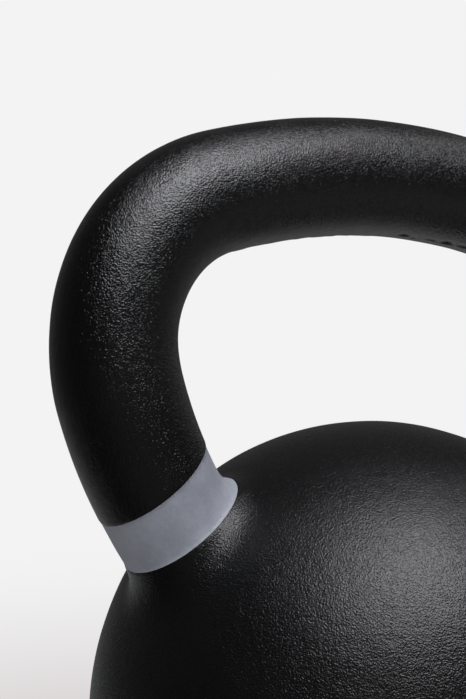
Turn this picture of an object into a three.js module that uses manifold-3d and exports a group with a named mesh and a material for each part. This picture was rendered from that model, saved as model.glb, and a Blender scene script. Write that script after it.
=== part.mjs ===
// A cast-iron kettlebell, in millimetres, +Z up, the handle across X, the origin in the middle of the flat base.
// Bell and handle are one iron casting. A powder coat covers it, as a shell over the bell and a shell over
// the handle, and a painted band goes round each root of the handle between the two shells.
import * as THREE from "three";
import { ParametricGeometry } from "three/addons/geometries/ParametricGeometry.js";
import { mergeVertices } from "three/addons/utils/BufferGeometryUtils.js";
import Module from "manifold-3d";

const wasm = await Module();
wasm.setup();

// ---- Driving dimensions ----

// The bell: a sphere below its widest level, a slightly taller dome above it, cut flat at the base.
const BELL_RADIUS = 84;
const BELL_DOME_RISE = 87; // from the widest level up to the crown
const BELL_WIDEST_HEIGHT = 64; // of the widest level above the base
const BASE_EDGE_RADIUS = 6;

// The handle: a round bar along tangent arcs, here for one half, from the middle of the grip down to the bell.
const GRIP_RADIUS = 17.3;
const WINDOW_HEIGHT = 55.3; // clear height between the crown and the middle of the grip
const GRIP_ARC = { radius: 198.7, sweep: 15.2 };
const CORNER_ARC = { radius: 43.1, sweep: 69.8 };
const SHOULDER_ARC = { radius: 50.4, sweep: 21.3 };
const HORN_ARC = { radius: 134.8, sweep: 60 }; // ends deep inside the bell
const SHOULDER_GROWTH = 0.4; // of the bar's radius, along the shoulder's arc
const ROOT_FILLET = 9.4; // reach of the fillet where each horn runs into the bell

// The bands: each lies between two parallel planes that lean outwards.
const BAND_WIDTH = 14.9;
const BAND_LEAN = 38.9; // of the planes from level, in degrees
const BAND_STANDOFF = 3.3; // of the band's lower plane from the bell, along the horn's centreline

// The layers over the iron.
const COAT_THICKNESS = 0.5;
const BAND_STEP = 0.2; // how far a band's surface lies below the coat's
const BOND_GAP = 0.3; // between the iron and what covers it
const BAND_EDGE_GAP = 0.3; // between a band and the coat on either side

// How finely the surfaces are divided.
const LATHE_SEGMENTS = 44;
const BAR_SIDES = 22;
const BAR_ROWS = 22; // from the middle of the grip to the fillet
const FILLET_ROWS = 5;
const HALF_ROWS = BAR_ROWS + FILLET_ROWS + 2; // with one row inside the bell and the closing point
const FILLET_END = 0.75; // how near to the bell's bare surface a fillet runs before it is cut off, 1 being there
const ROOT_DEPTH = 3; // how far each end of the bar goes on below the bell's surface
const OPEN_SPACE = 400; // a cutting block's size, larger than the kettlebell

const radians = THREE.MathUtils.degToRad;
const crownHeight = BELL_WIDEST_HEIGHT + BELL_DOME_RISE;
const gripHeight = crownHeight + WINDOW_HEIGHT + GRIP_RADIUS; // of the centreline's highest point
const arcs = [GRIP_ARC, CORNER_ARC, SHOULDER_ARC, HORN_ARC];
const halfLength = arcs.reduce((sum, arc) => sum + arc.radius * radians(arc.sweep), 0);
const hornStart = halfLength - HORN_ARC.radius * radians(HORN_ARC.sweep);
const shoulderStart = hornStart - SHOULDER_ARC.radius * radians(SHOULDER_ARC.sweep);

// ---- The handle's centreline ----

// The point and heading at a distance from the middle of the grip, on the +X half. Heading is 0 along +X
// and grows as the line turns down.
function centrelineAt(distance) {
  const at = { x: 0, z: gripHeight, heading: 0 };
  let left = distance;
  for (const { radius, sweep } of arcs) {
    const turn = Math.min(left / radius, radians(sweep));
    at.x += radius * (Math.sin(at.heading + turn) - Math.sin(at.heading));
    at.z += radius * (Math.cos(at.heading + turn) - Math.cos(at.heading));
    at.heading += turn;
    left -= radius * turn;
  }
  return at;
}

// Distance from a point to the bell's outer surface, negative inside it.
function distanceToBell(x, y, z) {
  const up = z - BELL_WIDEST_HEIGHT;
  const rise = up > 0 ? BELL_DOME_RISE : BELL_RADIUS;
  const level = Math.hypot(x / BELL_RADIUS, y / BELL_RADIUS, up / rise);
  const steepness = Math.hypot(x / BELL_RADIUS ** 2, y / BELL_RADIUS ** 2, up / rise ** 2);
  return (level * (level - 1)) / steepness;
}

// The point at a distance along the centreline, an angle round it, and out from it by a radius.
function pointAround(distance, angle, radius) {
  const { x, z, heading } = centrelineAt(distance);
  const out = radius * Math.cos(angle);
  return new THREE.Vector3(x + out * Math.sin(heading), radius * Math.sin(angle), z + out * Math.cos(heading));
}

// The bare bar's radius at a distance along the centreline.
function barRadius(distance) {
  return GRIP_RADIUS + SHOULDER_GROWTH * THREE.MathUtils.smoothstep(distance, shoulderStart, hornStart);
}

// How far along the centreline a line beside it comes this close to the bell, by halving. The line is given by
// its point at each distance.
function distanceWhere(clearance, pointAt) {
  let outside = 0;
  let inside = halfLength;
  while (inside - outside > 1e-4) {
    const middle = (outside + inside) / 2;
    const { x, y, z } = pointAt(middle);
    if (distanceToBell(x, y, z) > clearance) outside = middle;
    else inside = middle;
  }
  return outside;
}

// ---- Solids ----

// A point of the bar's surface, which lies an inset below the coat's outer surface. Rows run from the middle
// of the grip to the fillet, across the fillet, then down inside the bell to a point on the centreline.
// Across the fillet, lean goes from -1 at the bar towards 1 at the bell, and the surface keeps its distances
// from the bare bar and the bare bell such that it leaves both smoothly.
function barPoint(row, angle, inset) {
  const onCentreline = (distance) => pointAround(distance, 0, 0);
  if (row === HALF_ROWS) return onCentreline(distanceWhere(-inset - 2 * ROOT_DEPTH, onCentreline));
  const lean = THREE.MathUtils.clamp((row - BAR_ROWS) / FILLET_ROWS, 0, 1) * (1 + FILLET_END) - 1;
  const raised = ((1 - Math.abs(lean)) ** 2 * ROOT_FILLET) / 4 - inset;
  const fromBar = raised + Math.max(lean, 0) * ROOT_FILLET;
  const fromBell = raised + Math.max(-lean, 0) * ROOT_FILLET;
  const sunk = row > BAR_ROWS + FILLET_ROWS ? ROOT_DEPTH : 0;
  const alongBar = (distance) => pointAround(distance, angle, barRadius(distance) + fromBar);
  return alongBar(distanceWhere(fromBell - sunk, alongBar) * Math.min(row / BAR_ROWS, 1));
}

function barSolid(inset) {
  const surface = (u, v, target) => {
    const row = Math.round((2 * v - 1) * HALF_ROWS);
    target.copy(barPoint(Math.abs(row), -2 * Math.PI * (u % 1), inset));
    target.x *= row < 0 ? -1 : 1;
  };
  return solidFrom(new ParametricGeometry(surface, BAR_SIDES, 2 * HALF_ROWS));
}

// Points on an arc in a lathe profile, without its first point.
function arcPoints(centreHeight, centreRadius, width, height, from, to, steps) {
  return Array.from({ length: steps }, (_, i) => {
    const angle = from + ((to - from) * (i + 1)) / steps;
    return new THREE.Vector2(centreRadius + width * Math.cos(angle), centreHeight + height * Math.sin(angle));
  });
}

function bellSolid(inset) {
  const radius = BELL_RADIUS - inset;
  const edge = BASE_EDGE_RADIUS - inset;
  const edgeCentre = Math.sqrt(
    (BELL_RADIUS - BASE_EDGE_RADIUS) ** 2 - (BELL_WIDEST_HEIGHT - BASE_EDGE_RADIUS) ** 2,
  );
  const edgeEnd = Math.atan2(BASE_EDGE_RADIUS - BELL_WIDEST_HEIGHT, edgeCentre);
  const level = BELL_WIDEST_HEIGHT;
  const profile = [
    new THREE.Vector2(0, inset),
    new THREE.Vector2(edgeCentre, inset),
    ...arcPoints(BASE_EDGE_RADIUS, edgeCentre, edge, edge, -Math.PI / 2, edgeEnd, 3),
    ...arcPoints(level, 0, radius, radius, edgeEnd, 0, 7),
    ...arcPoints(level, 0, radius, BELL_DOME_RISE - inset, 0, Math.PI / 2, 12),
  ];
  profile.at(-1).x = 0; // exactly on the axis
  return solidFrom(new THREE.LatheGeometry(profile, LATHE_SEGMENTS).rotateX(Math.PI / 2));
}

// Bell and handle together, their surface an inset below the coat's outer surface.
const kettlebellSolid = (inset) => bellSolid(inset).add(barSolid(inset));

// Everything above a gable roof whose two slopes lean as the bands do, at a height above the band's lower planes.
function aboveBandPlane(height) {
  const root = distanceWhere(0, (distance) => pointAround(distance, 0, 0));
  const foot = centrelineAt(root - BAND_STANDOFF);
  const slope = Math.tan(radians(BAND_LEAN));
  const ridge = foot.z + slope * foot.x + height / Math.cos(radians(BAND_LEAN));
  const eaves = ridge - slope * OPEN_SPACE;
  const gable = new THREE.Shape([
    new THREE.Vector2(-OPEN_SPACE, eaves),
    new THREE.Vector2(0, ridge),
    new THREE.Vector2(OPEN_SPACE, eaves),
    new THREE.Vector2(OPEN_SPACE, ridge + OPEN_SPACE),
    new THREE.Vector2(-OPEN_SPACE, ridge + OPEN_SPACE),
  ]);
  const prism = new THREE.ExtrudeGeometry(gable, { depth: OPEN_SPACE, bevelEnabled: false });
  return solidFrom(prism.translate(0, 0, -OPEN_SPACE / 2).rotateX(Math.PI / 2));
}

// The half of space on one side of the middle plane.
function halfSpace(side) {
  const block = new THREE.BoxGeometry(OPEN_SPACE, 2 * OPEN_SPACE, 2 * OPEN_SPACE);
  return solidFrom(block.translate((side * OPEN_SPACE) / 2, 0, 0));
}

// A closed three.js geometry as a solid that can be cut and joined.
function solidFrom(geometry) {
  geometry.deleteAttribute("normal");
  geometry.deleteAttribute("uv");
  const merged = mergeVertices(geometry, 1e-4);
  return new wasm.Manifold(
    new wasm.Mesh({
      numProp: 3,
      vertProperties: merged.getAttribute("position").array,
      triVerts: new Uint32Array(merged.index.array),
    }),
  );
}

// A solid as a named mesh.
function meshOf(name, solid, material) {
  const { vertProperties, triVerts } = solid.getMesh();
  const geometry = new THREE.BufferGeometry();
  geometry.setAttribute("position", new THREE.BufferAttribute(vertProperties, 3));
  geometry.setIndex(new THREE.BufferAttribute(triVerts, 1));
  geometry.computeVertexNormals();
  const mesh = new THREE.Mesh(geometry, material);
  mesh.name = name;
  return mesh;
}

// ---- Materials ----

const iron = new THREE.MeshStandardMaterial({ color: 0x54565a, roughness: 0.7, metalness: 1 });
const blackPowderCoat = new THREE.MeshStandardMaterial({ color: 0x17181a, roughness: 0.42, metalness: 0 });
const greyBandPaint = new THREE.MeshStandardMaterial({ color: 0x7b808a, roughness: 0.6, metalness: 0 });

// ---- The kettlebell ----

const coatInside = kettlebellSolid(COAT_THICKNESS);
const coat = kettlebellSolid(0).subtract(coatInside);
const paint = kettlebellSolid(BAND_STEP).subtract(coatInside);
const bands = paint.intersect(aboveBandPlane(0)).subtract(aboveBandPlane(BAND_WIDTH));

const kettlebell = new THREE.Group();
kettlebell.add(
  meshOf("iron_casting", kettlebellSolid(COAT_THICKNESS + BOND_GAP), iron),
  meshOf("bell_coat", coat.subtract(aboveBandPlane(-BAND_EDGE_GAP)), blackPowderCoat),
  meshOf("handle_coat", coat.intersect(aboveBandPlane(BAND_WIDTH + BAND_EDGE_GAP)), blackPowderCoat),
  meshOf("left_colour_band", bands.intersect(halfSpace(-1)), greyBandPaint),
  meshOf("right_colour_band", bands.intersect(halfSpace(1)), greyBandPaint),
);

export default kettlebell;
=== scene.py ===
"""A cast-iron kettlebell with a black powder coat and a grey painted band at each root of its handle.

The coat and the bands are modelled as one smooth outer skin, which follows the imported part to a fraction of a
millimetre, and the skin is then cut along the bands' edges. Lengths are in metres unless a comment says
otherwise.
"""
import math

import bmesh
import bpy
import numpy as np
from mathutils import Matrix, Vector


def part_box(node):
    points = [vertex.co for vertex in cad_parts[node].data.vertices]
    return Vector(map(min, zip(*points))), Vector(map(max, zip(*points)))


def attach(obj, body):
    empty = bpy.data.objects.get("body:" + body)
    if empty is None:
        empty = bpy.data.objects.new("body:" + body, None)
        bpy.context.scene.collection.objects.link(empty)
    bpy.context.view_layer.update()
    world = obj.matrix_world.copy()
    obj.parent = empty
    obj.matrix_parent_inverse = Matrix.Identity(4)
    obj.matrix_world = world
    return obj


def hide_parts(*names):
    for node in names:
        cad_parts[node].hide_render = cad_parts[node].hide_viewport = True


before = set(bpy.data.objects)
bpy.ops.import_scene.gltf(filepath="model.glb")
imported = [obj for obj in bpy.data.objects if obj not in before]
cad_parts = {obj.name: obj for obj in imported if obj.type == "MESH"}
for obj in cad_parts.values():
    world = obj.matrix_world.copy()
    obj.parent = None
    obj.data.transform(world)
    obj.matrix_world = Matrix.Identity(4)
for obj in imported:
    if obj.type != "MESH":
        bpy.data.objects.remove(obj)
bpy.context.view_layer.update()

# ---- Sizes, from the frame where it gives them ----

MM = 0.001
bell_low, bell_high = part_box("bell_coat")
_, handle_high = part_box("handle_coat")

BELL_RADIUS = (bell_high.x - bell_low.x) / 2
BELL_WIDEST_HEIGHT = 64 * MM
CROWN_HEIGHT = bell_high.z
BASE_EDGE_RADIUS = 6 * MM

GRIP_RADIUS = 17.3 * MM
GRIP_HEIGHT = handle_high.z - GRIP_RADIUS  # of the centreline's highest point
BAR_INSET = 0.17 * MM  # keeps the round bar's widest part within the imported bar's flat sides
INSET_START = 88 * MM
INSET_END = 99 * MM
HANDLE_ARCS = (  # radius and sweep in degrees, from the middle of the grip outwards
    (198.7 * MM, 15.2),  # the grip
    (43.1 * MM, 69.8),  # the corner
    (50.4 * MM, 21.3),  # the shoulder
    (134.8 * MM, 60.0),  # the horn
)
SHOULDER_GROWTH = 0.4 * MM  # of the bar's radius, along the shoulder
ROOT_FILLET = 9.4 * MM
ROOT_SEARCH_START = 100 * MM  # where the centreline can enter the bell, along it from the middle of the grip
ROOT_SEARCH_END = 240 * MM
ROOT_SEARCH_STEP = 0.01 * MM

BAND_WIDTH = 14.9 * MM
BAND_LEAN = math.radians(38.9)
BAND_STANDOFF = 3.3 * MM  # of the band's lower plane from the bell, along the horn's centreline
BAND_RECESS = 0.28 * MM  # of the paint below the coat
BAND_EDGE_GAP = 0.08 * MM
BAND_THICKNESS = 0.25 * MM
PAINT_LIP = 0.5 * MM
PAINT_LIP_RISE = 0.16 * MM
COAT_THICKNESS = 0.45 * MM
COAT_LIP = 0.7 * MM
COAT_LIP_DROP = 0.16 * MM

SKIN_CELL = 1.3 * MM  # the skin mesh's cell
SHARP_ANGLE = math.radians(50)
BAND_CUT_MARGIN = 5 * MM  # how far from a band the skin's cells can be cut
UNEVENNESS = 0.16 * MM  # how far the casting wanders from its true form
EVEN_BELOW = 3 * MM  # height up to which the base is ground true
UNEVEN_ABOVE = 9 * MM
SEAM_HEIGHT = 0.14 * MM
SEAM_HALF_WIDTH = 1.5 * MM
SEAM_HALF_WIDTH_CHANGE = 0.5 * MM
SEAM_SIDE_FADE = 6 * MM
SEAM_END = 105 * MM  # along the handle from the middle of the grip
SEAM_END_FADE = 25 * MM
SEAM_CELL_CUTS = 3
SEAM_CELL_STRIP = 4 * MM  # half width of the strip whose cells are cut
ON_BAR_WITHIN = 2 * MM
SEAM_PITS = (  # under the grip: middle (x, y), half length, half width and depth, in millimetres
    (10.2, -3.6, 1.9, 0.9, 0.75),
    (14.5, -2.2, 1.0, 0.7, 0.30),
    (21.0, -3.1, 2.6, 0.6, 0.40),
    (27.0, -3.0, 2.3, 0.8, 0.75),
    (33.0, -3.4, 2.2, 0.7, 0.55),
    (-12.0, 2.4, 1.3, 0.8, 0.35),
    (-31.0, -0.6, 1.8, 0.7, 0.40),
)


# ---- The kettlebell's form, as a distance from its surface ----


def smoothstep(low, high, value):
    share = np.clip((value - low) / (high - low), 0, 1)
    return share * share * (3 - 2 * share)


def handle_arcs():
    """Each arc of the centreline's +X half: centre (x, z), radius, start, sweep, and length before it."""
    x, z, heading, length = 0.0, GRIP_HEIGHT, 0.0, 0.0
    for radius, sweep_degrees in HANDLE_ARCS:
        sweep = math.radians(sweep_degrees)
        centre = (x - radius * math.sin(heading), z - radius * math.cos(heading))
        yield centre, radius, heading, sweep, length
        x = centre[0] + radius * math.sin(heading + sweep)
        z = centre[1] + radius * math.cos(heading + sweep)
        heading += sweep
        length += radius * sweep


def along_handle(points):
    """For each point, its distance from the handle's centreline and how far along the nearest point lies."""
    x, y, z = np.abs(points[:, 0]), points[:, 1], points[:, 2]
    nearest = np.full(len(points), np.inf)
    travel = np.zeros(len(points))
    for (cx, cz), radius, start, sweep, length in handle_arcs():
        heading = np.arctan2(x - cx, z - cz)
        turned = np.clip(heading - start, 0, sweep)
        px = cx + radius * np.sin(start + turned)
        pz = cz + radius * np.cos(start + turned)
        distance = np.sqrt((x - px) ** 2 + y**2 + (z - pz) ** 2)
        closer = distance < nearest
        nearest = np.where(closer, distance, nearest)
        travel = np.where(closer, length + radius * turned, travel)
    return nearest, travel


def bar_distance(points):
    shoulder_start, horn_start = [length for *_, length in handle_arcs()][2:]
    nearest, travel = along_handle(points)
    inset = BAR_INSET * smoothstep(INSET_START, INSET_END, np.abs(points[:, 0]))
    radius = GRIP_RADIUS - inset + SHOULDER_GROWTH * smoothstep(shoulder_start, horn_start, travel)
    return nearest - radius


def bell_distance(points):
    """Distance from the bell: a sphere up to its widest level, a taller dome above, and a flat base."""
    out = np.hypot(points[:, 0], points[:, 1])
    up = points[:, 2] - BELL_WIDEST_HEIGHT
    rise = np.where(up > 0, CROWN_HEIGHT - BELL_WIDEST_HEIGHT, BELL_RADIUS)
    share = np.hypot(out / BELL_RADIUS, up / rise)
    steepness = np.hypot(out / BELL_RADIUS**2, up / rise**2)
    dome = share * (share - 1) / np.maximum(steepness, 1e-6)
    inner = BELL_RADIUS - BASE_EDGE_RADIUS
    edge_out = math.sqrt(inner**2 - (BELL_WIDEST_HEIGHT - BASE_EDGE_RADIUS) ** 2)
    edge_end = math.atan2(BASE_EDGE_RADIUS - BELL_WIDEST_HEIGHT, edge_out)
    from_edge = points[:, 2] - BASE_EDGE_RADIUS
    on_edge = (out > edge_out) & (np.arctan2(from_edge, out - edge_out) < edge_end)
    rounded = np.hypot(out - edge_out, from_edge) - BASE_EDGE_RADIUS
    flat = np.maximum(dome, -points[:, 2])
    return np.where(on_edge, rounded, np.where(out <= edge_out, flat, dome))


def form_distance(points):
    """Distance from the kettlebell's outer surface, with a fillet where the handle runs into the bell."""
    bar, bell = bar_distance(points), bell_distance(points)
    near = np.maximum(ROOT_FILLET - np.abs(bar - bell), 0) / ROOT_FILLET
    return np.minimum(bar, bell) - near**2 * ROOT_FILLET / 4


def slope(distance, points):
    """The gradient of a distance at each point, by small steps."""
    step = 0.02 * MM
    columns = []
    for axis in np.eye(3):
        columns.append((distance(points + axis * step) - distance(points - axis * step)) / (2 * step))
    return np.stack(columns, axis=1)


def settle(points, distance, passes=5):
    """Moves each point straight to where the distance is zero."""
    for _ in range(passes):
        normal = slope(distance, points)
        points = points - distance(points)[:, None] * normal / np.maximum((normal**2).sum(1), 1e-9)[:, None]
    return points


# ---- The casting's small departures from its form ----


def waves(points, longest, shortest, count, seed):
    """Smooth unevenness between -1 and 1 or so: waves of many directions and lengths."""
    chance = np.random.default_rng(seed)
    total = np.zeros(len(points))
    for _ in range(count):
        direction = chance.normal(size=3)
        direction /= np.linalg.norm(direction)
        length = math.exp(chance.uniform(math.log(shortest), math.log(longest)))
        total += np.sin(2 * math.pi * (points @ direction) / length + chance.uniform(0, 2 * math.pi))
    return total / math.sqrt(count / 2) / 2


def centreline_at(distance):
    """The point (x, z) of the centreline's +X half at a distance from the middle of the grip."""
    for (cx, cz), radius, start, sweep, length in handle_arcs():
        turned = (distance - length) / radius
        if turned <= sweep:
            return cx + radius * math.sin(start + turned), cz + radius * math.cos(start + turned)
    raise ValueError("the centreline is shorter than that")


def find_band_foot():
    """Where the right band's lower plane crosses the handle's centreline, a little above the bell."""
    distances = np.arange(ROOT_SEARCH_START, ROOT_SEARCH_END, ROOT_SEARCH_STEP)
    line = np.array([(x, 0, z) for x, z in map(centreline_at, distances)])
    root = distances[np.argmax(bell_distance(line) <= 0)]
    x, z = centreline_at(root - BAND_STANDOFF)
    return Vector((x, 0, z))


BAND_FOOT = find_band_foot()


def band_height(points):
    """Height above the bands' lower planes, square to them; the planes lean outwards on both sides alike."""
    x, z = np.abs(points[:, 0]), points[:, 2]
    return (z - BAND_FOOT.z) * math.cos(BAND_LEAN) + (x - BAND_FOOT.x) * math.sin(BAND_LEAN)


def inside_height(points):
    """How far a point lies on the window's side of the handle's centreline, as a negative number."""
    x, z = np.abs(points[:, 0]), points[:, 2]
    height = np.full(len(points), np.inf)
    nearest = np.full(len(points), np.inf)
    for (cx, cz), radius, start, sweep, _ in handle_arcs():
        heading = np.arctan2(x - cx, z - cz)
        beyond = np.maximum(np.maximum(start - heading, heading - start - sweep), 0)
        away = np.hypot(x - cx, z - cz) - radius
        closer = np.abs(away) + beyond < nearest
        nearest = np.where(closer, np.abs(away) + beyond, nearest)
        height = np.where(closer, away, height)
    return height


def seam_height(points):
    """The ground parting line along the inside of the handle: a low broken ridge with a few pits."""
    _, travel = along_handle(points)
    inside = smoothstep(0, -SEAM_SIDE_FADE, inside_height(points))
    change = waves(points, longest=30 * MM, shortest=8 * MM, count=8, seed=21)
    width = SEAM_HALF_WIDTH + SEAM_HALF_WIDTH_CHANGE * change
    ridge = np.exp(-((points[:, 1] / width) ** 2))
    breaks = waves(points, longest=14 * MM, shortest=2.5 * MM, count=30, seed=22)
    broken = np.clip(0.55 + 0.75 * breaks, -0.4, 1)
    height = SEAM_HEIGHT * ridge * broken
    for x, y, half_length, half_width, depth in SEAM_PITS:
        along = (points[:, 0] - x * MM) / (half_length * MM)
        across = (points[:, 1] - y * MM) / (half_width * MM)
        height -= depth * MM * np.exp(-((along**2 + across**2) ** 1.5))
    return height * inside * smoothstep(SEAM_END, SEAM_END - SEAM_END_FADE, travel)


def casting_distance(points):
    """The form with the casting's unevenness, always on or within the true form, and its parting line."""
    wander = waves(points, longest=60 * MM, shortest=14 * MM, count=40, seed=5)
    uneven = UNEVENNESS * np.clip(0.5 + 0.5 * wander, 0, 1)
    above_base = smoothstep(EVEN_BELOW, UNEVEN_ABOVE, points[:, 2])
    return form_distance(points) + uneven * above_base - seam_height(points)


def coat_distance(points):
    """The coat's surface, which rolls down a little at its edges beside the bands."""
    height = band_height(points)
    from_edge = np.minimum(np.abs(height), np.abs(height - BAND_WIDTH))
    return casting_distance(points) + COAT_LIP_DROP * smoothstep(COAT_LIP, 0, from_edge)


def band_distance(points):
    """The paint's surface, which rises a little to its edges, where the masking was pulled off."""
    height = band_height(points)
    from_edge = np.minimum(height, BAND_WIDTH - height)
    return casting_distance(points) + BAND_RECESS - PAINT_LIP_RISE * smoothstep(PAINT_LIP, 0, from_edge)


# ---- Meshes ----


def get_points(mesh):
    co = np.zeros(len(mesh.vertices) * 3)
    mesh.vertices.foreach_get("co", co)
    return co.reshape(-1, 3)


def set_points(mesh, points):
    mesh.vertices.foreach_set("co", points.astype(np.float32).ravel())
    mesh.update()


def add_object(name, mesh):
    piece = bpy.data.objects.new(name, mesh)
    bpy.context.scene.collection.objects.link(piece)
    return piece


def apply_modifiers(piece):
    """The piece's mesh with its modifiers made permanent."""
    shown = bpy.context.evaluated_depsgraph_get()
    mesh = bpy.data.meshes.new_from_object(piece.evaluated_get(shown))
    piece.modifiers.clear()
    piece.data = mesh
    return piece


def outer_skin():
    """One even mesh of the whole outer surface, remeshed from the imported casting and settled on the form."""
    skin = add_object("outer_skin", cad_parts["iron_casting"].data.copy())
    remesh = skin.modifiers.new("even_cells", "REMESH")
    remesh.mode = "VOXEL"
    remesh.voxel_size = SKIN_CELL
    apply_modifiers(skin)
    set_points(skin.data, settle(get_points(skin.data), form_distance))
    return skin


def face_middles(cut):
    return np.array([f.calc_center_median()[:] for f in cut.faces])


def faces_with_edges(faces):
    edges = {e for f in faces for e in f.edges}
    points = {v for f in faces for v in f.verts}
    return list(faces) + list(edges) + list(points)


def cut_at_bands(cut):
    """Cuts the skin along each band's edges, and where the coat and the paint begin to bend beside them."""
    heights = (-COAT_LIP, -BAND_EDGE_GAP, 0, PAINT_LIP, BAND_WIDTH - PAINT_LIP, BAND_WIDTH)
    heights += (BAND_WIDTH + BAND_EDGE_GAP, BAND_WIDTH + COAT_LIP)
    for side in (-1, 1):
        middles = face_middles(cut)
        height = band_height(middles)
        close = (height > -BAND_CUT_MARGIN) & (height < BAND_WIDTH + BAND_CUT_MARGIN)
        close &= middles[:, 0] * side > 0
        part = faces_with_edges([f for f, is_close in zip(list(cut.faces), close) if is_close])
        normal = Vector((side * math.sin(BAND_LEAN), 0, math.cos(BAND_LEAN)))
        for level in heights:
            on_plane = Vector((side * BAND_FOOT.x, 0, BAND_FOOT.z)) + normal * level
            result = bmesh.ops.bisect_plane(cut, geom=part, plane_co=on_plane, plane_no=normal, dist=1e-6)
            part = result["geom"]


def refine_seam(cut):
    """Divides the cells along the parting line, which is finer than the rest of the skin."""
    middles = face_middles(cut)
    _, travel = along_handle(middles)
    on_inside = inside_height(middles) < -0.8 * GRIP_RADIUS
    on_bar = bar_distance(middles) < ON_BAR_WITHIN
    on_seam = (np.abs(middles[:, 1]) < SEAM_CELL_STRIP) & (travel < SEAM_END) & on_inside & on_bar
    faces = [f for f, wanted in zip(list(cut.faces), on_seam) if wanted]
    edges = list({e for f in faces for e in f.edges})
    bmesh.ops.subdivide_edges(cut, edges=edges, cuts=SEAM_CELL_CUTS, use_grid_fill=True)


def region_piece(whole, name, wanted, distance, thickness):
    """The wanted faces as a closed shell, its outside on the surface where the distance is zero."""
    region = whole.copy()
    spare = [f for f, keep in zip(list(region.faces), wanted) if not keep]
    bmesh.ops.delete(region, geom=spare, context="FACES")
    mesh = bpy.data.meshes.new(name)
    region.to_mesh(mesh)
    region.free()
    set_points(mesh, settle(get_points(mesh), distance))
    piece = add_object(name, mesh)
    shell = piece.modifiers.new("thickness", "SOLIDIFY")
    shell.thickness = thickness
    shell.offset = -1
    apply_modifiers(piece)
    piece.data.name = name
    piece.data.shade_smooth()
    piece.data.set_sharp_from_angle(angle=SHARP_ANGLE)
    return piece


def make_skin_pieces():
    skin = outer_skin()
    whole = bmesh.new()
    whole.from_mesh(skin.data)
    bpy.data.objects.remove(skin)
    refine_seam(whole)
    cut_at_bands(whole)
    middles = face_middles(whole)
    height = band_height(middles)
    in_band = (height > 0) & (height < BAND_WIDTH)
    pieces = {
        "bell_skin": region_piece(whole, "bell_skin", height < -BAND_EDGE_GAP, coat_distance, COAT_THICKNESS),
        "handle_skin": region_piece(
            whole, "handle_skin", height > BAND_WIDTH + BAND_EDGE_GAP, coat_distance, COAT_THICKNESS
        ),
    }
    for name, side in (("left_band_skin", -1), ("right_band_skin", 1)):
        wanted = in_band & (middles[:, 0] * side > 0)
        pieces[name] = region_piece(whole, name, wanted, band_distance, BAND_THICKNESS)
    whole.free()
    return pieces


# ---- Materials ----


class Graph:
    """A material's nodes, added and joined by short calls."""

    def __init__(self, name):
        self.material = bpy.data.materials.new(name)
        self.material.use_nodes = True
        self.nodes = self.material.node_tree.nodes
        self.links = self.material.node_tree.links
        self.shader = self.nodes["Principled BSDF"]
        self.place = self.nodes.new("ShaderNodeTexCoord").outputs["Object"]

    def node(self, kind, inputs=None, **settings):
        made = self.nodes.new(kind)
        for key, value in settings.items():
            setattr(made, key, value)
        for key, value in (inputs or {}).items():
            if isinstance(value, bpy.types.NodeSocket):
                self.links.new(value, made.inputs[key])
            else:
                made.inputs[key].default_value = value
        return made

    def noise(self, size, detail=2.0, roughness=0.5, distortion=0.0):
        """Noise whose features are about that size, in metres."""
        inputs = {"Vector": self.place, "Scale": 1 / size, "Detail": detail}
        inputs.update({"Roughness": roughness, "Distortion": distortion})
        return self.node("ShaderNodeTexNoise", inputs).outputs["Fac"]

    def spots(self, spacing):
        """Distance from the nearest of many scattered points, as a share of their spacing."""
        inputs = {"Vector": self.place, "Scale": 1 / spacing}
        return self.node("ShaderNodeTexVoronoi", inputs).outputs["Distance"]

    def remap(self, value, from_low, from_high, to_low, to_high, smooth=False):
        inputs = {"Value": value, "From Min": from_low, "From Max": from_high}
        inputs.update({"To Min": to_low, "To Max": to_high})
        kind = "SMOOTHSTEP" if smooth else "LINEAR"
        return self.node("ShaderNodeMapRange", inputs, interpolation_type=kind).outputs["Result"]

    def math(self, operation, first, second):
        return self.node("ShaderNodeMath", {0: first, 1: second}, operation=operation).outputs[0]

    def mix(self, share, first, second):
        inputs = {"Factor": share, "A": first, "B": second}
        made = self.nodes.new("ShaderNodeMix")
        made.data_type = "RGBA"
        for key, value in inputs.items():
            socket = [s for s in made.inputs if s.name == key and s.enabled][0]
            if isinstance(value, bpy.types.NodeSocket):
                self.links.new(value, socket)
            else:
                socket.default_value = value
        return [s for s in made.outputs if s.enabled][0]

    def bump(self, height, depth, strength=1.0, after=None):
        """A bump of that depth, in metres, for a height between 0 and 1."""
        inputs = {"Height": height, "Distance": depth, "Strength": strength}
        if after is not None:
            inputs["Normal"] = after
        return self.node("ShaderNodeBump", inputs).outputs["Normal"]

    def finish(self, tone, gloss, surface):
        self.links.new(tone, self.shader.inputs["Base Color"])
        self.links.new(gloss, self.shader.inputs["Roughness"])
        self.links.new(surface, self.shader.inputs["Normal"])
        return self.material


GRAIN_SIZE = 0.44 * MM  # the coat's fine leathery grain
HANDLE_GRAIN_DEPTH = 0.25 * MM
BELL_GRAIN_DEPTH = 0.20 * MM
SAND_SIZE = 3.2 * MM  # the casting's own grain, seen through the coat
SAND_DEPTH = 0.14 * MM
DRIFT_SIZE = 35 * MM  # of the slow change in tone and gloss
CRATER_SPACING = 9 * MM
CRATER_DEPTH = 0.06 * MM
# painted shade: the darker colour given to the hollows of the coat's grain
PAINTED_CREASE_SHADE = (0.0012, 0.0012, 0.0013, 1)
COAT_TONE = (0.0026, 0.0026, 0.0028, 1)
RUBBED_TONE = (0.0034, 0.0034, 0.0036, 1)
HANDLE_ROUGHNESS = 0.195
BELL_ROUGHNESS = 0.275
ROUGHNESS_DRIFT = 0.025
HANDLE_SHINE = 0.52
BELL_SHINE = 0.37

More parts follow.
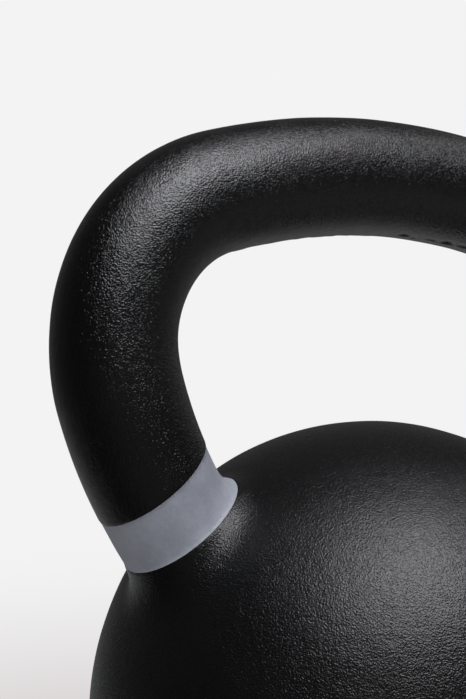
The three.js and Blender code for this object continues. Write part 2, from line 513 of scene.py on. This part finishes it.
PAINT_GRAIN_SIZE = 0.7 * MM
PAINT_GRAIN_DEPTH = 0.055 * MM
MOTTLE_SIZE = 1.5 * MM
MOTTLE_DEPTH = 0.10 * MM
CLOUD_SIZE = 7 * MM
CLOUD_DEPTH = 0.08 * MM
PAINT_DRIFT_SIZE = 25 * MM
SPECK_SPACING = 2.6 * MM
PAINT_DARK = (0.190, 0.203, 0.235, 1)
PAINT_PALE = (0.243, 0.257, 0.288, 1)
PAINT_GREYER = (0.215, 0.222, 0.245, 1)
MOTTLE_TONE = (0.150, 0.162, 0.190, 1)
SPECK_TONE = (0.12, 0.13, 0.15, 1)

IRON_SAND_SIZE = 1.2 * MM
IRON_SAND_DEPTH = 0.15 * MM
IRON_DRIFT_SIZE = 20 * MM
IRON_DARK = (0.045, 0.043, 0.042, 1)
IRON_PALE = (0.075, 0.072, 0.070, 1)


def powder_coat(name, grain_depth, roughness, shine):
    """Black satin powder coat: a leathery grain with painted shade in its hollows, small craters, and a slow
    drift of tone and gloss.
    """
    g = Graph(name)
    grain = g.noise(GRAIN_SIZE, detail=1.0, roughness=0.4, distortion=0.3)
    sand = g.noise(SAND_SIZE, detail=3.0)
    drift = g.noise(DRIFT_SIZE, detail=3.0)
    crater = g.remap(g.spots(CRATER_SPACING), 0.0, 0.07, -1.0, 0.0, smooth=True)
    raised = g.remap(grain, 0.36, 0.5, 0.0, 1.0, smooth=True)

    # painted shade: the grain's hollows are coloured darker, where shade would fall
    tone = g.mix(raised, PAINTED_CREASE_SHADE, COAT_TONE)
    tone = g.mix(g.remap(drift, 0.35, 0.7, 0.0, 0.5), tone, RUBBED_TONE)
    gloss = g.remap(drift, 0.3, 0.7, roughness - ROUGHNESS_DRIFT, roughness + ROUGHNESS_DRIFT)
    gloss = g.math("ADD", gloss, g.remap(grain, 0.3, 0.7, 0.06, -0.02))

    surface = g.bump(sand, SAND_DEPTH)
    surface = g.bump(grain, grain_depth, after=surface)
    surface = g.bump(crater, CRATER_DEPTH, 0.8, after=surface)
    g.shader.inputs["Specular IOR Level"].default_value = shine
    return g.finish(tone, gloss, surface)


def band_paint():
    """Matt grey-blue paint, thin enough to show the casting's grain, clouded, mottled and a little rubbed."""
    g = Graph("grey_band_paint")
    grain = g.noise(PAINT_GRAIN_SIZE, distortion=0.4)
    mottle = g.noise(MOTTLE_SIZE, detail=3.0, roughness=0.6, distortion=0.5)
    cloud = g.noise(CLOUD_SIZE, detail=4.0, roughness=0.6)
    drift = g.noise(PAINT_DRIFT_SIZE)
    speck = g.remap(g.spots(SPECK_SPACING), 0.0, 0.16, 1.0, 0.0, smooth=True)
    rubbed = g.math("MULTIPLY", speck, g.remap(grain, 0.5, 0.7, 0.0, 0.6))

    tone = g.mix(g.remap(cloud, 0.3, 0.7, 0.0, 1.0), PAINT_DARK, PAINT_PALE)
    tone = g.mix(g.remap(drift, 0.4, 0.7, 0.0, 0.5), tone, PAINT_GREYER)
    tone = g.mix(g.remap(mottle, 0.35, 0.65, 0.0, 0.30), tone, MOTTLE_TONE)
    tone = g.mix(rubbed, tone, SPECK_TONE)
    gloss = g.remap(cloud, 0.3, 0.7, 0.50, 0.62)

    surface = g.bump(cloud, CLOUD_DEPTH, 0.8)
    surface = g.bump(mottle, MOTTLE_DEPTH, after=surface)
    surface = g.bump(grain, PAINT_GRAIN_DEPTH, after=surface)
    return g.finish(tone, gloss, surface)


def bare_iron():
    """The casting under the coat: dark sand-cast iron."""
    g = Graph("cast_iron")
    sand = g.noise(IRON_SAND_SIZE, detail=4.0, roughness=0.6)
    drift = g.noise(IRON_DRIFT_SIZE, detail=3.0)
    tone = g.mix(g.remap(drift, 0.3, 0.7, 0.0, 1.0), IRON_DARK, IRON_PALE)
    surface = g.bump(sand, IRON_SAND_DEPTH, 0.8)
    gloss = g.remap(sand, 0.3, 0.7, 0.55, 0.72)
    g.shader.inputs["Metallic"].default_value = 1.0
    return g.finish(tone, gloss, surface)


def dress(piece, material):
    piece.data.materials.clear()
    piece.data.materials.append(material)


# ---- The studio ----

CAMERA_AZIMUTH = math.radians(-35.77)  # of the camera from the bell's centre, where 0 looks along +Y
CAMERA_ELEVATION = math.radians(15.54)
CAMERA_DISTANCE = 4.92 * BELL_RADIUS
CAMERA_TURN = math.radians(-6.10)  # from the bell's centre towards the picture's middle, to the right
CAMERA_RAISE = math.radians(15.22)
CAMERA_ROLL = math.radians(-0.24)
CAMERA_LENS = 68.25
SENSOR_SIZE = 36  # along the picture's longer side, in millimetres as the lens is

TARGET_HEIGHT = CROWN_HEIGHT  # of the point that every light faces
KEY_TINT = (1.0, 0.995, 1.045)
WORLD_TINT = (0.97, 0.98, 1, 1)
WORLD_LIGHT = 0.012
WORLD_GLOWS = (  # azimuth, elevation, angles from there where it is full and where it ends, strength
    (88, -44, 30, 58, 0.25),  # the floor on the right
    (170, -46, 20, 44, 0.34),  # the floor behind
    (150, 12, 20, 58, 0.09),  # the wall behind
    (-8, -26, 25, 56, 0.105),  # the floor in front
    (-148, -8, 15, 42, 0.045),  # low down behind on the left
)

BACKDROP_RADIUS = 2.6
BACKDROP_COVE = 0.7  # radius of the curve between the floor and the wall
BACKDROP_COVE_STEPS = 12
BACKDROP_SIDES = 96
BACKDROP_RING = 0.6  # radius of the floor's inner ring of points
BACKDROP_HEIGHT = 3.0
BACKDROP_FLOOR = -0.0005
PAPER_TONE = (0.896, 0.896, 0.896, 1)
PAPER_SHADE = (0.660, 0.618, 0.628, 1)
SHADE_START = 0.22  # distances from the object's axis, as the contact shade's are
SHADE_END = 0.85
SHADE_FALLOFF = 2.8
CONTACT_SHADE = (0.03, 0.03, 0.032, 1)
CONTACT_START = 0.045
CONTACT_END = 0.19
CONTACT_FALLOFF = 1.4
CONTACT_DEPTH = 0.9


def direction(azimuth, elevation):
    """Unit vector from the object towards a place. Azimuth 0 is a camera that looks along +Y."""
    level = math.cos(elevation)
    return Vector((math.sin(azimuth) * level, -math.cos(azimuth) * level, math.sin(elevation)))


def add_camera():
    bell_centre = Vector((0, 0, BELL_WIDEST_HEIGHT))
    back = direction(CAMERA_AZIMUTH, CAMERA_ELEVATION)
    right = (-back).cross(Vector((0, 0, 1))).normalized()
    up = right.cross(-back)
    ahead = (-back + math.tan(CAMERA_TURN) * right + math.tan(CAMERA_RAISE) * up).normalized()
    level_right = ahead.cross(Vector((0, 0, 1))).normalized()
    level_up = level_right.cross(ahead)
    across = math.cos(CAMERA_ROLL) * level_right + math.sin(CAMERA_ROLL) * level_up
    above = across.cross(ahead)
    camera = bpy.data.objects.new("camera", bpy.data.cameras.new("camera"))
    camera.data.lens = CAMERA_LENS
    camera.data.sensor_width = SENSOR_SIZE
    camera.data.clip_start = 0.01
    turned = Matrix((across, above, -ahead)).transposed().to_4x4()
    camera.matrix_world = Matrix.Translation(bell_centre + back * CAMERA_DISTANCE) @ turned
    bpy.context.scene.collection.objects.link(camera)
    bpy.context.scene.camera = camera


def add_softbox(name, azimuth, elevation, distance, size, power, tint=(1, 1, 1)):
    """A rectangular light that faces the object's upper part, its azimuth and elevation in degrees."""
    light = bpy.data.lights.new(name, "AREA")
    light.shape = "RECTANGLE"
    light.size, light.size_y = size
    light.energy = power
    light.color = tint
    softbox = bpy.data.objects.new(name, light)
    back = direction(math.radians(azimuth), math.radians(elevation))
    target = Vector((0, 0, TARGET_HEIGHT))
    softbox.location = target + back * distance
    softbox.rotation_euler = back.to_track_quat("Z", "Y").to_euler()
    softbox.visible_camera = False
    bpy.context.scene.collection.objects.link(softbox)
    return softbox


def add_lights():
    """A large key light high in front, a weak one on the right, and two fills for the matt paint alone."""
    add_softbox("key", azimuth=-4, elevation=58, distance=0.76, size=(0.76, 0.56), power=10.4, tint=KEY_TINT)
    add_softbox("right", azimuth=100, elevation=28, distance=0.9, size=(0.5, 0.5), power=0.65)
    left_fill = add_softbox("left_fill", azimuth=-62, elevation=-8, distance=1.3, size=(1, 1), power=9.5)
    back_fill = add_softbox("back_fill", azimuth=150, elevation=20, distance=1.3, size=(1, 1), power=7)
    left_fill.visible_glossy = False
    back_fill.visible_glossy = False


def add_world():
    """Dim surroundings with a few paler parts, for the floor and the wall that the glossy coat reflects."""
    world = bpy.data.worlds.new("studio")
    world.use_nodes = True
    nodes, links = world.node_tree.nodes, world.node_tree.links
    way = nodes.new("ShaderNodeTexCoord").outputs["Generated"]
    total = nodes.new("ShaderNodeValue").outputs[0]
    total.default_value = WORLD_LIGHT
    for azimuth, elevation, inner, outer, strength in WORLD_GLOWS:
        facing = nodes.new("ShaderNodeVectorMath")
        facing.operation = "DOT_PRODUCT"
        facing.inputs[1].default_value = direction(math.radians(azimuth), math.radians(elevation))
        links.new(way, facing.inputs[0])
        glow = nodes.new("ShaderNodeMapRange")
        glow.interpolation_type = "SMOOTHSTEP"
        glow.inputs["From Min"].default_value = math.cos(math.radians(outer))
        glow.inputs["From Max"].default_value = math.cos(math.radians(inner))
        glow.inputs["To Max"].default_value = strength
        links.new(facing.outputs["Value"], glow.inputs["Value"])
        added = nodes.new("ShaderNodeMath")
        links.new(total, added.inputs[0])
        links.new(glow.outputs["Result"], added.inputs[1])
        total = added.outputs[0]
    links.new(total, nodes["Background"].inputs["Strength"])
    nodes["Background"].inputs["Color"].default_value = WORLD_TINT
    bpy.context.scene.world = world


def add_backdrop():
    """A pale floor that curves up into a wall all round."""
    outline = [(0.0, 0.0), (BACKDROP_RING, 0.0), (BACKDROP_RADIUS - BACKDROP_COVE, 0.0)]
    for i in range(1, BACKDROP_COVE_STEPS + 1):
        angle = math.pi / 2 * i / BACKDROP_COVE_STEPS
        out = BACKDROP_RADIUS - BACKDROP_COVE + BACKDROP_COVE * math.sin(angle)
        outline.append((out, BACKDROP_COVE * (1 - math.cos(angle))))
    outline.append((BACKDROP_RADIUS, BACKDROP_HEIGHT))
    sheet = bmesh.new()
    points = [sheet.verts.new((out, 0, up + BACKDROP_FLOOR)) for out, up in outline]
    edges = [sheet.edges.new(pair) for pair in zip(points, points[1:])]
    spun = {"cent": (0, 0, 0), "axis": (0, 0, 1), "steps": BACKDROP_SIDES, "angle": 2 * math.pi}
    bmesh.ops.spin(sheet, geom=points + edges, use_merge=True, use_duplicate=False, **spun)
    bmesh.ops.remove_doubles(sheet, verts=sheet.verts, dist=1e-5)
    mesh = bpy.data.meshes.new("backdrop")
    sheet.to_mesh(mesh)
    sheet.free()
    mesh.shade_smooth()
    backdrop = add_object("backdrop", mesh)
    dress(backdrop, backdrop_paper())
    backdrop.visible_glossy = False
    backdrop.visible_diffuse = False
    backdrop.visible_shadow = False


def backdrop_paper():
    """Evenly bright pale paper, with a painted shadow, darker and warmer, on the floor round the object, and a
    painted contact shadow, darkest, under its base.
    """
    g = Graph("backdrop_paper")
    flat = g.node("ShaderNodeVectorMath", {0: g.place, 1: (1, 1, 0)}, operation="MULTIPLY").outputs["Vector"]
    away = g.node("ShaderNodeVectorMath", {0: flat}, operation="LENGTH").outputs["Value"]
    # painted shadow on the floor round the object
    near = g.math("POWER", g.remap(away, SHADE_END, SHADE_START, 0.0, 1.0), SHADE_FALLOFF)
    tone = g.mix(near, PAPER_TONE, PAPER_SHADE)
    # painted contact shadow under the base
    under = g.remap(away, CONTACT_START, CONTACT_END, 1.0, 0.0, smooth=True)
    under = g.math("POWER", under, CONTACT_FALLOFF)
    tone = g.mix(g.math("MULTIPLY", under, CONTACT_DEPTH), tone, CONTACT_SHADE)
    g.links.new(tone, g.shader.inputs["Emission Color"])
    g.shader.inputs["Emission Strength"].default_value = 1.0
    g.shader.inputs["Base Color"].default_value = (0, 0, 0, 1)
    g.shader.inputs["Roughness"].default_value = 1.0
    g.shader.inputs["Specular IOR Level"].default_value = 0.0
    return g.material


# ---- Putting it together ----

add_camera()
add_world()
add_backdrop()
add_lights()

pieces = make_skin_pieces()
handle_coat = powder_coat("handle_powder_coat", HANDLE_GRAIN_DEPTH, HANDLE_ROUGHNESS, HANDLE_SHINE)
bell_coat = powder_coat("bell_powder_coat", BELL_GRAIN_DEPTH, BELL_ROUGHNESS, BELL_SHINE)
paint, iron = band_paint(), bare_iron()
stands_for = {
    "bell_skin": ("bell_coat", bell_coat, "black_powder_coat"),
    "handle_skin": ("handle_coat", handle_coat, "black_powder_coat"),
    "left_band_skin": ("left_colour_band", paint, "grey_band_paint"),
    "right_band_skin": ("right_colour_band", paint, "grey_band_paint"),
}
for name, (node, material, slot) in stands_for.items():
    dress(pieces[name], material)
    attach(pieces[name], "root")
    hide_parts(node)
dress(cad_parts["iron_casting"], iron)

bpy.context.scene.view_settings.view_transform = "Standard"

bpy.context.view_layer.update()
